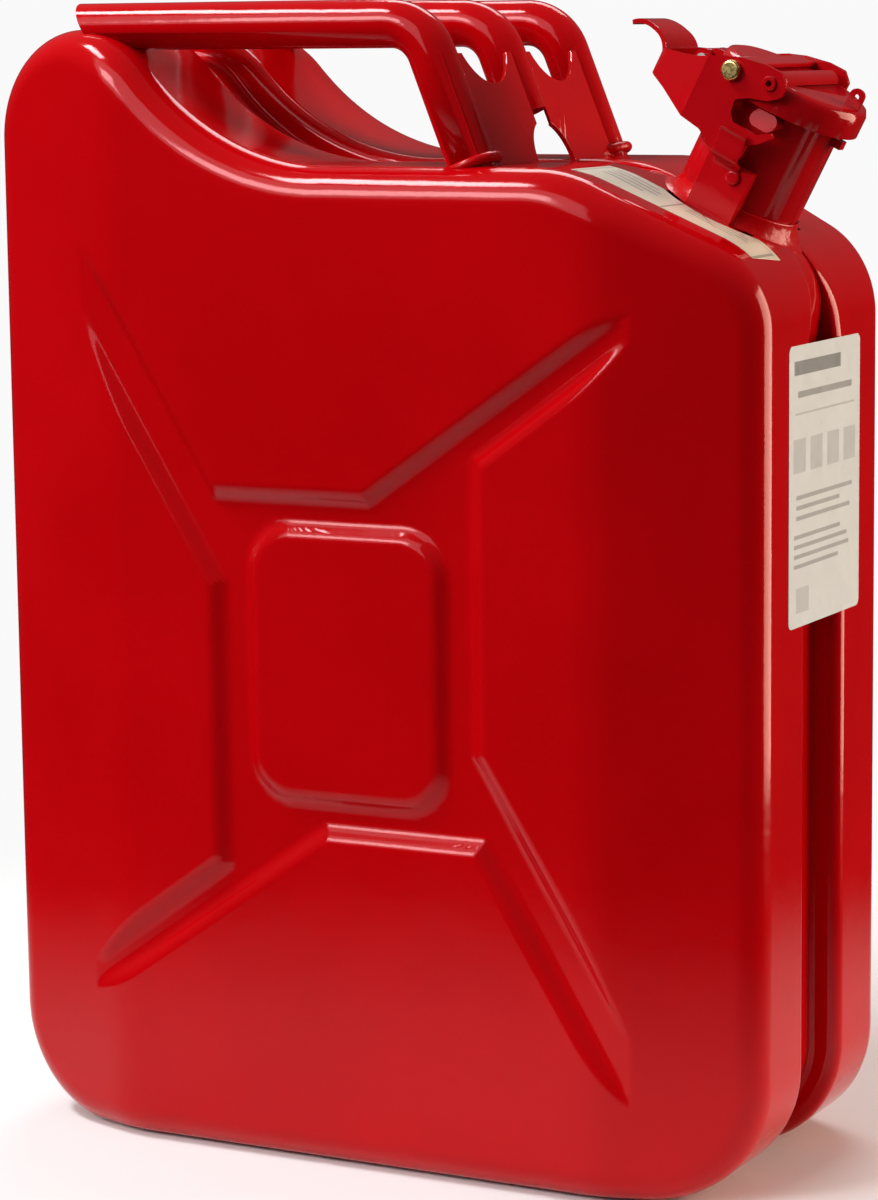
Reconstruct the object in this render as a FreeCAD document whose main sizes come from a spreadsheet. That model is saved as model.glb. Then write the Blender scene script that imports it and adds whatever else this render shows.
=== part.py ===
import FreeCAD, Part
import math
import os
import Sketcher
from FreeCAD import Placement, Rotation, Vector

os.makedirs("parts", exist_ok=True)

# A 20 litre steel fuel can, in millimetres. +X is the spout side, -Y is the front face, +Z is up,
# and the origin is under the middle of the base.
document = FreeCAD.newDocument("SafetyGasCan")

# ---------------------------------------------------------------- driving dimensions
DIMENSIONS = [
    ("sheet_thick", 1.0),
    ("body_width", 345),
    ("body_half_depth", 82),
    ("side_half_depth", 62.5),
    ("flat_half_width", 108),
    ("base_corner", 48),
    ("shoulder_corner", 40),
    ("back_corner", 45),
    ("sweep_radius", 110),
    ("sweep_angle", 49.3),
    ("deck_height", 406),
    ("crown_height", 460),
    ("slope_angle", 25.6),
    ("slope_start", 94),
    ("edge_radius", 14),
    ("bend_radius", 60),
    ("groove_half_width", 17),
    ("groove_depth", 12),
    ("groove_lip", 6),
    ("stamp_height", 207),
    ("stamp_depth", 4.5),
    ("stamp_wall", 5.5),
    ("stamp_reach", 122),
    ("island_half_x", 40),
    ("island_half_z", 52),
    ("island_corner", 15),
    ("seam_half_width", 3.2),
    ("seam_height", 2.2),
    ("neck_foot_x", 133.2),
    ("neck_foot_z", 385.3),
    ("neck_tilt", 27.5),
    ("neck_radius", 24.2),
    ("neck_wall", 1.2),
    ("neck_root", -15),
    ("neck_top", 50),
    ("rim_radius", 27),
    ("rim_top", 53),
    ("cap_radius", 30.5),
    ("cap_skirt_base", 49),
    ("cap_top", 60.3),
    ("cap_wall", 1.1),
    ("gasket_inner", 18),
    ("gasket_outer", 28.3),
    ("gasket_base", 53.05),
    ("gasket_top", 55.8),
    ("barrel_radius", 4.4),
    ("barrel_reach", 27.5),
    ("pivot_offset", 2.3),
    ("pivot_height", 59.4),
    ("pivot_radius", 1.6),
    ("pivot_reach", 34.4),
    ("pivot_head", 2.9),
    ("pivot_hollow", 1.25),
    ("hinge_offset", -35.6),
    ("hinge_height", 50.5),
    ("hinge_radius", 2),
    ("hinge_reach", 12),
    ("knuckle_radius", 3.8),
    ("knuckle_reach", 7.6),
    ("hinge_ear_inner", 8),
    ("hinge_ear_outer", 10),
    ("lever_inner", 31.4),
    ("lever_wall", 1.8),
    ("lever_waist", -25),
    ("lever_tail", -48),
    ("lever_tail_inner", 17.5),
    ("lug_offset", 5.2),
    ("lug_height", 45),
    ("lug_radius", 3.4),
    ("lug_length", 4.4),
    ("lug_reach", 31),
    ("lug_slope", 20),
    ("bracket_inner", 26),
    ("bracket_wall", 1.6),
    ("band_wall", 1.1),
    ("rivet_offset", 3.5),
    ("rivet_height", 19.5),
    ("rivet_radius", 3.1),
    ("rivet_shank", 1.65),
    ("lock_offset", -13.7),
    ("lock_height", 56.9),
    ("lock_shank", 2.2),
    ("lock_head", 3.9),
    ("flare_height", 9),
    ("flare_reach", 7),
    ("seat_reach", 12),
    ("breather_radius", 4),
    ("breather_offset", -17),
    ("bar_radius", 9.5),
    ("bar_spacing", 60),
    ("bar_height", 461),
    ("bar_wall", 1.2),
    ("bar_start", -125),
    ("bar_end_slope", 28),
    ("bar_bend", 19),
    ("bar_elbow_x", 27),
    ("leg_lean", 21.8),
    ("plate_thick", 2),
    ("plate_half_width", 67),
    ("plate_height", 46),
    ("label_thick", 0.15),
]

sheet = document.addObject("Spreadsheet::Sheet", "Dimensions")
for row, (alias, value) in enumerate(DIMENSIONS, start=1):
    sheet.set("A%d" % row, str(value))
    sheet.setAlias("A%d" % row, alias)
document.recompute()


def size(alias):
    """The value of one driving dimension."""
    return float(sheet.get(alias))


def bind(thing, **expressions):
    """Bind properties of a document object to the dimension sheet."""
    for name, expression in expressions.items():
        thing.setExpression(name, expression)


# ---------------------------------------------------------------- places
NECK_PLACE = Placement(
    Vector(size("neck_foot_x"), 0, size("neck_foot_z")),
    Rotation(Vector(0, 1, 0), size("neck_tilt")),
)
UP = Vector(0, 0, 1)
ACROSS = Vector(0, 1, 0)
HALF_WIDTH = size("body_width") / 2
SHEET = size("sheet_thick")


# ---------------------------------------------------------------- outlines
def rounded_wire(corners, y=0.0):
    """A closed wire in the XZ plane. Each corner is (x, z, radius), and a radius rounds it."""
    points = [Vector(x, y, z) for x, z, _ in corners]
    count = len(points)
    edges = []
    joints = []
    for index, (_, _, radius) in enumerate(corners):
        corner = points[index]
        before = (points[index - 1] - corner).normalize()
        after = (points[(index + 1) % count] - corner).normalize()
        half = before.getAngle(after) / 2
        if radius <= 0:
            joints.append((corner, None, corner))
            continue
        reach = radius / math.tan(half)
        middle_way = (before + after).normalize()
        centre = corner + middle_way * (radius / math.sin(half))
        joints.append((corner + before * reach, centre - middle_way * radius, corner + after * reach))
    for index, (start, middle, end) in enumerate(joints):
        if middle is not None:
            edges.append(Part.Arc(start, middle, end).toShape())
        following = joints[(index + 1) % count][0]
        if end.distanceToPoint(following) > 0.02:
            edges.append(Part.LineSegment(end, following).toShape())
    return Part.Wire(Part.__sortEdges__(edges))


def prism(corners, low_y, high_y):
    """A solid between two Y planes with a rounded outline in the XZ plane."""
    return Part.Face(rounded_wire(corners, low_y)).extrude(Vector(0, high_y - low_y, 0))


def body_outline(inset=0.0):
    """The can's outline seen from the front, moved inwards by inset."""
    sweep = math.radians(size("sweep_angle"))
    slope = math.radians(size("slope_angle"))
    base, shoulder = size("base_corner"), size("shoulder_corner")
    back, dip = size("back_corner"), size("sweep_radius")
    side = HALF_WIDTH
    deck = size("deck_height")
    back_centre = Vector(-side + back, 0, size("crown_height") - back)
    tangent = back_centre + Vector(math.sin(sweep), 0, math.cos(sweep)) * back
    back_peak = tangent.z + math.tan(sweep) * (tangent.x + side)
    dip_x = tangent.x + (tangent.z - deck) / math.tan(sweep)
    shoulder_z = deck - (side - size("slope_start")) * math.tan(slope)

    def moved(x, z, turn_in, turn_out):
        # The inward move of a corner between two edges that head along turn_in and turn_out.
        half = (turn_out - turn_in) / 2
        middle = (turn_out + turn_in) / 2 + math.pi / 2
        reach = inset / math.cos(half)
        return x + reach * math.cos(middle), z + reach * math.sin(middle)

    quarter = math.pi / 2
    rows = [
        (-side, 0, -quarter, 0, base - inset),
        (side, 0, 0, quarter, base - inset),
        (side, shoulder_z, quarter, math.pi - slope, shoulder - inset),
        (size("slope_start"), deck, math.pi - slope, math.pi, 60 - inset),
        (dip_x, deck, math.pi, math.pi - sweep, dip + inset),
        (-side, back_peak, math.pi - sweep, 3 * quarter, back - inset),
    ]
    return [(*moved(x, z, start, end), radius) for x, z, start, end, radius in rows]


# ---------------------------------------------------------------- the two shells
def taper_cutter(side, inset):
    """What is cut off one half where the big face falls back towards a narrow side."""
    flat, deep, shallow = size("flat_half_width"), size("body_half_depth"), size("side_half_depth")
    run, fall = HALF_WIDTH - flat, deep - shallow
    length = math.hypot(run, fall)
    inwards = Vector(-fall / length, run / length, 0) * inset
    end = Vector(HALF_WIDTH, -shallow, 0) + inwards + Vector(run, fall, 0)
    start = Vector(flat, -deep, 0) + inwards + Vector(-run, -fall, 0) * 0.5
    far = Vector(end.x, -deep - 40, 0)
    near = Vector(start.x, -deep - 40, 0)
    points = [Vector(side * p.x, p.y, -10) for p in (start, end, far, near)]
    face = Part.Face(Part.makePolygon(points + points[:1]))
    return face.extrude(UP * 500)


def half_body(inset):
    """The front half of the can as a solid, with its big face, edges and groove moved in by inset."""
    front = -size("body_half_depth") + inset
    lip_y = -size("groove_half_width") - inset
    outer = prism(body_outline(inset), front, lip_y)
    for side in (-1, 1):
        outer = outer.cut(taper_cutter(side, inset))
    bends = [edge for edge in outer.Edges if is_bend(edge, lip_y)]
    outer = outer.makeFillet(size("bend_radius"), bends)
    rim = [edge for edge in outer.Edges if is_face_edge(edge, lip_y)]
    outer = outer.makeFillet(size("edge_radius") - inset, rim)
    lip = [edge for edge in outer.Edges if lies_at_y(edge, lip_y)]
    outer = outer.makeFillet(size("groove_lip") - inset, lip)
    web = prism(body_outline(size("groove_depth") + inset), lip_y, 0)
    return outer.fuse(web).removeSplitter()


def lies_at_y(edge, y):
    box = edge.BoundBox
    return abs(box.YMin - y) < 0.01 and abs(box.YMax - y) < 0.01


def is_bend(edge, lip_y):
    """True for the two upright lines where the big face begins to fall back."""
    box = edge.BoundBox
    near_bend = abs(abs(box.XMin) - size("flat_half_width")) < 14
    return box.YMax < lip_y - 20 and box.XLength < 0.01 and near_bend and box.ZLength > 100


def is_face_edge(edge, lip_y):
    """True for the edges that run round the big face, and not for those across it or the lip."""
    return edge.BoundBox.YMax < lip_y - 20 and not is_bend(edge, lip_y)


def stamp_outline():
    """The floor outline of the stamped cross, about its middle. Its second half is its first, turned."""
    tip = size("stamp_reach")
    half = [
        (tip, -163),
        (tip, -139),
        (56, -32),
        (56, 86.3),
        (tip, 133.8),
        (tip, 142.3),
        (11, 65),
        (-61.5, 65),
    ]
    return half + [(-x, -z) for x, z in half]


def spread(points, distance):
    """The corners of a closed anticlockwise outline, with each edge moved outwards by distance."""
    moved = []
    for index, (x, z) in enumerate(points):
        before, after = points[index - 1], points[(index + 1) % len(points)]
        first = Vector(z - before[1], before[0] - x).normalize()
        second = Vector(after[1] - z, x - after[0]).normalize()
        step = (first + second) * (distance / (1 + first.dot(second)))
        moved.append((x + step.x, z + step.y))
    return moved


def sloping_block(low_points, high_points, low_y, high_y):
    """A solid with flat sloping walls between two outlines with the same number of corners."""
    lift = size("stamp_height")
    wires = []
    for points, y in ((low_points, low_y), (high_points, high_y)):
        corners = [Vector(x, y, lift + z) for x, z in points]
        wires.append(Part.makePolygon(corners + corners[:1]))
    return Part.makeLoft(wires, True, True)


def stamp(front, depth):
    """The recessed cross and ring of the big face, from outside down to its flat floor."""
    floor = stamp_outline()
    wall = size("stamp_wall")
    cross = sloping_block(floor, spread(floor, wall), front + depth, front)
    cross = cross.fuse(sloping_block(spread(floor, wall), spread(floor, wall), front, front - 5))
    return cross.cut(Part.makeLoft([island_wire(wall, front + depth), island_wire(0, front)], True, True))


def island_wire(growth, y):
    """The rounded outline of the raised panel in the middle of the stamp, grown all round."""
    half_x, half_z = size("island_half_x") + growth, size("island_half_z") + growth
    middle, radius = size("stamp_height"), size("island_corner") + growth
    corners = [(-half_x, -half_z), (half_x, -half_z), (half_x, half_z), (-half_x, half_z)]
    return rounded_wire([(x, middle + z, radius) for x, z in corners], y)


def neck_cylinder(radius, low, high):
    solid = Part.makeCylinder(radius, high - low, Vector(0, 0, low))
    solid.Placement = NECK_PLACE
    return solid


def front_half_shell():
    front = -size("body_half_depth")
    depth = size("stamp_depth")
    outside = half_body(0).cut(stamp(front, depth))
    inside = half_body(SHEET).cut(stamp(front + SHEET, depth))
    shell = outside.cut(inside)
    return shell.cut(neck_cylinder(size("neck_radius") + 0.15, -40, 40))


def add_shape(label, shape, placement=None):
    """A sub-part whose shape is worked out here. Its placement is set after its shape."""
    thing = document.addObject("Part::Feature", label)
    thing.Label = label
    thing.Shape = shape.removeSplitter()
    if placement is not None:
        thing.Placement = placement
    return thing


front_shape = front_half_shell()
rear_shape = front_shape.mirror(Vector(0, 0, 0), Vector(0, 1, 0))
parts = [add_shape("front_shell", front_shape), add_shape("rear_shell", rear_shape)]
outside_front = half_body(0)
outside_body = outside_front.fuse(outside_front.mirror(Vector(0, 0, 0), Vector(0, 1, 0)))


# ---------------------------------------------------------------- the welded seam in the groove
def seam_ring():
    height = size("seam_height")
    half = size("seam_half_width")
    depth = size("groove_depth")
    outer = prism(body_outline(depth - height), -half, half)
    round_edges = [edge for edge in outer.Edges if lies_at_y(edge, -half) or lies_at_y(edge, half)]
    outer = outer.makeFillet(1.8, round_edges)
    ring = outer.cut(prism(body_outline(depth - 0.02), -half - 1, half + 1))
    return ring.cut(neck_cylinder(size("neck_radius") + 0.4, -40, 40))


seam_shape = seam_ring()
parts.append(add_shape("seam_weld", seam_shape))


# ---------------------------------------------------------------- turned parts on the neck axis
def lathe_body(label, outline, placement):
    """A PartDesign body turned about its Z axis. The outline's points are pairs of expressions."""
    body = document.addObject("PartDesign::Body", label + "_body")
    body.Label = label
    sketch = body.newObject("Sketcher::SketchObject", label + "_sketch")
    planes = {feature.Role: feature for feature in body.Origin.OriginFeatures}
    sketch.AttachmentSupport = (planes["XZ_Plane"], [""])
    sketch.MapMode = "FlatFace"
    places = [Vector(evaluate(r), evaluate(z), 0) for r, z in outline]
    count = len(places)
    for index, start in enumerate(places):
        sketch.addGeometry(Part.LineSegment(start, places[(index + 1) % count]), False)
    for index in range(count):
        sketch.addConstraint(Sketcher.Constraint("Coincident", index, 2, (index + 1) % count, 1))
    for index, (radius, height) in enumerate(outline):
        for kind, expression, value in (
            ("DistanceX", radius, places[index].x),
            ("DistanceY", height, places[index].y),
        ):
            number = sketch.addConstraint(Sketcher.Constraint(kind, -1, 1, index, 1, value))
            sketch.setExpression("Constraints[%d]" % number, expression)
    turn = body.newObject("PartDesign::Revolution", label + "_turn")
    turn.Profile = sketch
    turn.ReferenceAxis = (sketch, ["V_Axis"])
    turn.Angle = 360
    body.Placement = placement
    document.recompute()
    return body


def evaluate(expression):
    """The value of an expression on the sheet, such as 'Dimensions.cap_radius - 2'."""
    names = {alias: size(alias) for alias, _ in DIMENSIONS}
    total = 0.0
    for term in expression.replace("- ", "+ -").split("+ "):
        term = term.strip()
        sign = -1.0 if term.startswith("-") else 1.0
        word = term.lstrip("-").strip()
        total += sign * (names[word[11:]] if word.startswith("Dimensions.") else float(word))
    return total


def cell(alias):
    return "Dimensions." + alias


neck = lathe_body(
    "neck_tube",
    [
        (cell("neck_radius") + " - " + cell("neck_wall"), cell("neck_root")),
        (cell("neck_radius"), cell("neck_root")),
        (cell("neck_radius"), cell("neck_top")),
        (cell("rim_radius"), cell("neck_top")),
        (cell("rim_radius"), cell("rim_top") + " - 1"),
        (cell("rim_radius") + " - 1", cell("rim_top")),
        (cell("neck_radius") + " - " + cell("neck_wall"), cell("rim_top")),
    ],
    NECK_PLACE,
)
parts.append(neck)

cap_inside = cell("cap_radius") + " - " + cell("cap_wall")
cap_cup = lathe_body(
    "cap_cup",
    [
        (cap_inside, cell("cap_skirt_base")),
        (cell("cap_radius"), cell("cap_skirt_base")),
        (cell("cap_radius"), cell("cap_top") + " - 3.2"),
        (cell("cap_radius") + " - 1", cell("cap_top") + " - 1"),
        (cell("cap_radius") + " - 3.2", cell("cap_top")),
        ("0", cell("cap_top")),
        ("0", cell("cap_top") + " - " + cell("cap_wall")),
        (cell("cap_radius") + " - 3.6", cell("cap_top") + " - " + cell("cap_wall")),
        (cap_inside, cell("cap_top") + " - 3.6"),
    ],
    NECK_PLACE,
)
parts.append(
    lathe_body(
        "cap_gasket",
        [
            (cell("gasket_inner"), cell("gasket_base")),
            (cell("gasket_outer"), cell("gasket_base")),
            (cell("gasket_outer"), cell("gasket_top")),
            (cell("gasket_inner"), cell("gasket_top")),
        ],
        NECK_PLACE,
    )
)


# ---------------------------------------------------------------- cross pins and rods
def cross_rod(label, radius, offset, height, reach):
    """A Part::Cylinder that lies along Y, centred on the mid plane of the neck frame."""
    rod = document.addObject("Part::Cylinder", label)
    rod.Label = label
    bind(rod, Radius=radius, Height="2 * " + reach)
    document.recompute()
    local = Placement(
        Vector(evaluate(offset), rod.Height.Value / 2, evaluate(height)), Rotation(Vector(1, 0, 0), 90)
    )
    rod.Placement = NECK_PLACE.multiply(local)
    return rod


def cut_objects(label, base, tool):
    """A Part::Cut of two document objects."""
    result = document.addObject("Part::Cut", label)
    result.Label = label
    result.Base = base
    result.Tool = tool
    document.recompute()
    return result


def across(offset, height, radius, low_y, high_y):
    """A cylinder along Y in the neck frame."""
    return Part.makeCylinder(radius, high_y - low_y, Vector(offset, low_y, height), ACROSS)


def side_prism(points, low_y, high_y):
    """A prism along Y in the neck frame from (offset, height) points."""
    corners = [Vector(x, low_y, z) for x, z in points]
    return Part.Face(Part.makePolygon(corners + corners[:1])).extrude(Vector(0, high_y - low_y, 0))


def ribbon(centre_line, thickness, axis):
    """A thin strip's face: a smooth centre line of points, thickened equally to both sides."""
    sides = ([], [])
    last = len(centre_line) - 1
    for index, point in enumerate(centre_line):
        heading = centre_line[min(index + 1, last)] - centre_line[max(index - 1, 0)]
        normal = axis.cross(heading).normalize() * (thickness / 2)
        sides[0].append(point + normal)
        sides[1].append(point - normal)
    edges = []
    for points in sides:
        curve = Part.BSplineCurve()
        curve.interpolate(points)
        edges.append(curve.toShape())
    edges.append(Part.makeLine(sides[0][0], sides[1][0]))
    edges.append(Part.makeLine(sides[0][-1], sides[1][-1]))
    return Part.Face(Part.Wire(Part.__sortEdges__(edges)))


def mirrored(shape):
    return shape.mirror(Vector(0, 0, 0), ACROSS)


PIVOT = (size("pivot_offset"), size("pivot_height"))
HINGE = (size("hinge_offset"), size("hinge_height"))
NECK = size("neck_radius")

parts.append(
    cross_rod(
        "hinge_pin",
        cell("hinge_radius"),
        cell("hinge_offset"),
        cell("hinge_height"),
        cell("hinge_reach"),
    )
)
pin_hole = cross_rod(
    "cap_pin_hole",
    cell("pivot_radius") + " + 0.02",
    cell("pivot_offset"),
    cell("pivot_height"),
    cell("pivot_reach"),
)
parts.append(cut_objects("cap_shell", cap_cup, pin_hole))


def cross_barrel():
    """The tube round the lever's pivot, half sunk in the top of the cap."""
    reach = size("barrel_reach")
    ridge = across(*PIVOT, size("barrel_radius"), -reach, reach)
    ends = [edge for edge in ridge.Edges if lies_at_y(edge, reach) or lies_at_y(edge, -reach)]
    ridge = ridge.makeFillet(1.2, ends).cut(across(*PIVOT, size("pivot_radius") + 0.02, -reach, reach))
    below = size("cap_top") + 0.03
    return ridge.cut(Part.makeBox(80, 80, below, Vector(-40, -40, 0)))


parts.append(add_shape("cap_cross_barrel", cross_barrel(), NECK_PLACE))


def pivot_pin():
    """The hollow-ended rivet through the cap that carries the lever."""
    reach = size("pivot_reach")
    head_base = size("lever_inner") + size("lever_wall") + 0.08
    pin = across(*PIVOT, size("pivot_radius"), -reach, reach)
    for low, high in ((head_base, reach), (-reach, -head_base)):
        pin = pin.fuse(across(*PIVOT, size("pivot_head"), low, high))
    rims = [edge for edge in pin.Edges if lies_at_y(edge, reach) or lies_at_y(edge, -reach)]
    pin = pin.makeFillet(0.45, rims)
    for low, high in ((reach - 4, reach + 1), (-reach - 1, -reach + 4)):
        pin = pin.cut(across(*PIVOT, size("pivot_hollow"), low, high))
    return pin


parts.append(add_shape("lever_pivot_pin", pivot_pin(), NECK_PLACE))


# ---------------------------------------------------------------- the cap's hinge arm and seal ear
def cap_hinge_arm():
    """The arm from the back of the cap's skirt, with the knuckle that turns on the hinge pin."""
    x, z = HINGE
    top = size("cap_top")
    reach = size("knuckle_reach")
    outline = [(-27, z - 1.2), (-27, top - 3.4), (-33, top - 4.2), (x, z + 3.5), (x, z - 1.2)]
    strap = side_prism(outline, -reach, reach)
    strap = strap.cut(Part.makeCylinder(size("cap_radius") + 0.03, 80))
    knuckle = across(x, z, size("knuckle_radius"), -reach, reach)
    return strap.fuse(knuckle).cut(across(x, z, size("hinge_radius") + 0.06, -reach - 1, reach + 1))


def seal_ear(offset, low, high, half_width, hole_z):
    """A small upright tab that faces the front, with a hole for a wire seal."""
    tab = Part.makeBox(2 * half_width, 1.6, high - low, Vector(offset - half_width, -0.8, low))
    corners = [edge for edge in tab.Edges if edge.BoundBox.YLength > 1.5 and edge.BoundBox.ZMin > high - 0.1]
    tab = tab.makeFillet(half_width * 0.9, corners)
    return tab.cut(across(offset, hole_z, 1.1, -4, 4))


parts.append(add_shape("cap_hinge_arm", cap_hinge_arm(), NECK_PLACE))
cap_top = size("cap_top")
cap_ear = seal_ear(25, cap_top + 0.03, cap_top + 7.6, 3.1, cap_top + 4.4)
parts.append(add_shape("cap_seal_ear", cap_ear, NECK_PLACE))


def neck_seal_lug():
    block = Part.makeBox(5, 4.6, 3.4, Vector(NECK - 0.6, -2.3, 43.6))
    block = block.cut(Part.makeCylinder(NECK + 0.02, 20, Vector(0, 0, 36)))
    return block.cut(Part.makeCylinder(0.9, 10, Vector(NECK + 2.6, 0, 40)))


parts.append(add_shape("neck_seal_lug", neck_seal_lug(), NECK_PLACE))


# ---------------------------------------------------------------- fixed pieces on the neck
def trunnion_lug():
    """The oval lug beside the neck that the lever's hook passes under, on the front side."""
    half = size("lug_length")
    x, z, radius = size("lug_offset"), size("lug_height"), size("lug_radius")
    low, high = -size("lug_reach"), -NECK * 0.9
    lug = across(x - half / 2, z, radius, low, high).fuse(across(x + half / 2, z, radius, low, high))
    lug = lug.fuse(Part.makeBox(half, high - low, 2 * radius, Vector(x - half / 2, low, z - radius)))
    lug = lug.removeSplitter()
    wedge = Part.makeBox(30, 10, 20, Vector(x - 15, -10, -10))
    wedge.rotate(Vector(0, 0, 0), Vector(1, 0, 0), -size("lug_slope"))
    wedge.translate(Vector(0, low, z - radius))
    return lug.cut(wedge).cut(Part.makeCylinder(NECK + 0.02, 60))


parts.append(add_shape("trunnion_lug_near", trunnion_lug(), NECK_PLACE))
parts.append(add_shape("trunnion_lug_far", mirrored(trunnion_lug()), NECK_PLACE))


def hinge_bracket():
    """One bracket round the back of the neck, with two pads, two guides and two hinge ears."""
    inner, wall = size("bracket_inner"), size("bracket_wall")
    mid = inner + wall / 2
    plate = Part.makeBox(20, inner + wall, 24, Vector(-10, -inner - wall, 0))
    swell = [(mid, 18), (mid, 21), (mid + 1.6, 23.6), (34.2, 26.6), (34.7, 29), (34.7, 34), (36.1, 37.3)]
    guide_line = [Vector(0, -y, z) for y, z in swell]
    guide = ribbon(guide_line, wall, Vector(1, 0, 0)).extrude(Vector(11.5, 0, 0))
    guide.translate(Vector(-7, 0, 0))
    side = plate.fuse(guide)
    band_radius = NECK + size("band_wall")
    band = Part.makeCylinder(band_radius, 16, Vector(0, 0, 8)).cut(
        Part.makeBox(80, 80, 80, Vector(-2, -40, -20))
    )
    tongue = Part.makeCylinder(band_radius, 26, Vector(0, 0, 22)).common(
        Part.makeBox(60, 24, 60, Vector(-60, -12, 0))
    )
    x, z = HINGE
    ear_outline = [(-24, 40), (-31, 42.6), (-38, 47.3), (-31.6, 48.4), (-24, 47.6)]
    ears = []
    for low, high in (
        (size("hinge_ear_inner"), size("hinge_ear_outer")),
        (-size("hinge_ear_outer"), -size("hinge_ear_inner")),
    ):
        ears.append(side_prism(ear_outline, low, high).fuse(across(x, z, 3.9, low, high)))
    bracket = band.fuse([side, mirrored(side), tongue] + ears)
    bracket = bracket.cut(Part.makeCylinder(NECK + 0.05, 90, Vector(0, 0, -20)))
    bracket = bracket.cut(across(x, z, size("hinge_radius") + 0.01, -20, 20))
    rivet_x, rivet_z = size("rivet_offset"), size("rivet_height")
    return bracket.cut(across(rivet_x, rivet_z, size("rivet_shank") + 0.05, -40, 40))


pressed_bracket = hinge_bracket()


def bracket_rivets():
    x, z = size("rivet_offset"), size("rivet_height")
    face = size("bracket_inner") + size("bracket_wall")
    head = across(x, z, size("rivet_radius"), -face - 1.7, -face - 0.02)
    rim = [edge for edge in head.Edges if lies_at_y(edge, -face - 1.7)]
    head = head.makeFillet(1.2, rim)
    shank = across(x, z, size("rivet_shank"), -face - 0.5, -NECK - 0.4)
    rivet = head.fuse(shank).cut(pressed_bracket)
    return Part.makeCompound([rivet, mirrored(rivet)])


body_in_neck_frame = outside_body.copy()
body_in_neck_frame.Placement = NECK_PLACE.inverse()
parts.append(add_shape("hinge_bracket", pressed_bracket.cut(body_in_neck_frame), NECK_PLACE))
parts.append(add_shape("bracket_rivets", bracket_rivets(), NECK_PLACE))


def neck_weld():
    """The flared foot of the neck, with the seat that fills the groove under it."""
    high, wide, low = size("flare_height"), size("flare_reach"), -16
    inside = NECK + 0.04
    crest, toe = Vector(inside + 0.8, 0, high), Vector(inside + wide, 0, 0.1)
    curve = Part.Arc(crest, Vector(inside + wide * 0.38, 0, high * 0.38), toe).toShape()
    root = Vector(inside + wide + size("seat_reach"), 0, low)
    corners = [toe, root, Vector(inside, 0, low), Vector(inside, 0, high - 0.8), crest]
    edges = [curve] + [Part.makeLine(a, b) for a, b in zip(corners, corners[1:])]
    foot = Part.Face(Part.Wire(Part.__sortEdges__(edges))).revolve(Vector(0, 0, 0), UP, 360)
    seam = seam_shape.copy()
    seam.Placement = NECK_PLACE.inverse()
    pieces = foot.cut(body_in_neck_frame).cut(pressed_bracket).cut(seam).Solids
    return max(pieces, key=lambda piece: piece.Volume)


parts.append(add_shape("neck_weld", neck_weld(), NECK_PLACE))


def breather_tube():
    """The thin air pipe inside the neck that lets the can pour without gulping."""
    x = size("breather_offset")
    radius = size("breather_radius")
    tube = Part.makeCylinder(radius, 95, Vector(x, 0, -48))
    tube = tube.cut(Part.makeCylinder(radius - 0.8, 97, Vector(x, 0, -49)))
    clip = Part.makeBox(7, 3, 1.5, Vector(-NECK + size("neck_wall") + 0.02, -1.5, 38))
    clip = clip.cut(Part.makeCylinder(radius - 0.4, 10, Vector(x, 0, 34)))
    reach = Part.makeCylinder(NECK - size("neck_wall") - 0.03, 200, Vector(0, 0, -60))
    return tube.fuse(clip).common(reach)


parts.append(add_shape("breather_tube", breather_tube(), NECK_PLACE))


# ---------------------------------------------------------------- the lever
def lever_plan(grow):
    """The lever seen along the neck: two cheeks that draw in to a narrow tail wall."""
    half, tail = size("lever_inner") + grow, size("lever_tail_inner") + grow
    waist, end = size("lever_waist"), size("lever_tail") - grow
    points = [(20, -half), (waist, -half), (end, -tail), (end, tail), (waist, half), (20, half)]
    corners = [Vector(x, y, 0) for x, y in points]
    block = Part.Face(Part.makePolygon(corners + corners[:1])).extrude(UP * 80)
    upright = [edge for edge in block.Edges if edge.BoundBox.ZLength > 70 and edge.BoundBox.XMax < end + 1]
    return block.makeFillet(5 + grow, upright)


CHEEK = [
    (-52, 38),
    (-46.5, 37.2),
    (-39.8, 35.8),
    (-25.4, 31.6),
    (-16, 30.6),
    (-7.8, 26.2),
    (4.2, 28.6),
    (4.6, 34),
    (8.6, 36.8),
    (12.8, 41.2),
    (11.7, 43),
    (6.2, 39.4),
    (-4.4, 39.4),
    (-7, 42.4),
    (-7.8, 47.6),
    (-2.6, 50.6),
    (4.6, 53),
    (8.6, 56.4),
    (8.8, 61.6),
    (5, 65.2),
    (-2.3, 65),
    (-12.6, 62.8),
    (-20, 60),
    (-30.2, 54.4),
    (-37.8, 51.5),
    (-52, 47),
]


def thumb_tab():
    """The curled tab at the lever's tail."""
    line = [(-48.9, 43), (-49.4, 46), (-52.4, 49.9), (-57, 51.8), (-62, 52.2), (-66, 51.2), (-68.6, 49.2)]
    strip = ribbon([Vector(x, -20, z) for x, z in line], size("lever_wall"), ACROSS).extrude(ACROSS * 40)
    plan = [(-47, -16.5), (-47, 16.5), (-56, 13), (-70, 10.5), (-70, -10.5), (-56, -13)]
    corners = [Vector(x, y, 30) for x, y in plan]
    return strip.common(Part.Face(Part.makePolygon(corners + corners[:1])).extrude(UP * 40))


def lever():
    cheeks = side_prism(CHEEK, -40, 40)
    sharp = [edge for edge in cheeks.Edges if edge.BoundBox.YLength > 70 and turns_softly(edge)]
    cheeks = cheeks.makeFillet(1.6, sharp)
    sheet_metal = lever_plan(size("lever_wall")).cut(lever_plan(0))
    shape = cheeks.common(sheet_metal).fuse(thumb_tab())
    shape = shape.cut(across(*PIVOT, size("pivot_radius") + 0.06, -50, 50))
    return shape.cut(across(*LOCK, size("lock_shank") + 0.06, -50, 0))


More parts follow.
